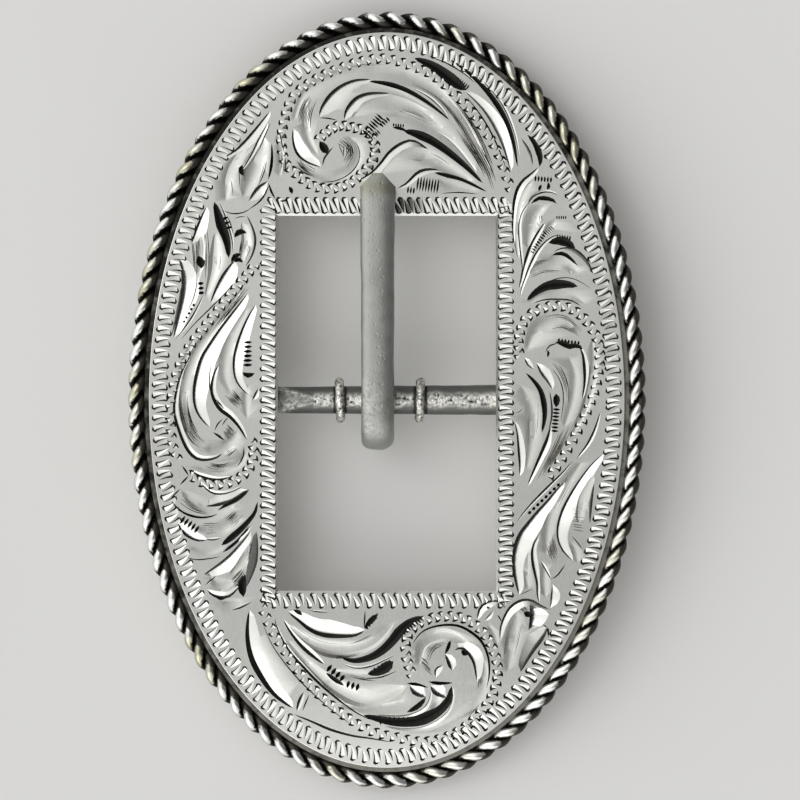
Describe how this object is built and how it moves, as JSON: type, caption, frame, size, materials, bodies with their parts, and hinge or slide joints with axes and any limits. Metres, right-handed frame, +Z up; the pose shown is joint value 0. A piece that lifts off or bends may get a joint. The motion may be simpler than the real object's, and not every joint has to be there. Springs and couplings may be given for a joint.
{
  "type": "headstall buckle",
  "caption": "Oval arched strap buckle with an engraved face, a twisted rope edge, a strap window, a fixed cross bar and one swinging tongue that pins a strap by its hole.",
  "frame": {"origin": "centre of the bounding box in plan, at the height of the surface that the buckle rests on, back down", "axes": "+Z up out of the engraved face, +Y from the cross bar to the tongue's tip, +X along the cross bar to the right as the face is seen"},
  "size_m": [0.0474, 0.0716, 0.0086],
  "materials": {
    "engraved_plate": "polished nickel silver with bright-cut scroll engraving, dark in the cuts",
    "rope_wire": "twisted nickel silver wire, rubbed bright on top and oxidised in the grooves",
    "cast_metal": "tumbled cast nickel silver, grey with small pits"
  },
  "bodies": {
    "frame": {"buckle_frame": "engraved_plate"},
    "tongue": {"tongue": "cast_metal"}
  },
  "joints": [
    {"name": "tongue_swing", "type": "hinge", "parent": "frame", "child": "tongue", "pos_m": [-0.00085, 0, 0.00475], "axis": [1, 0, 0], "range_deg": [0, 160]}
  ]
}
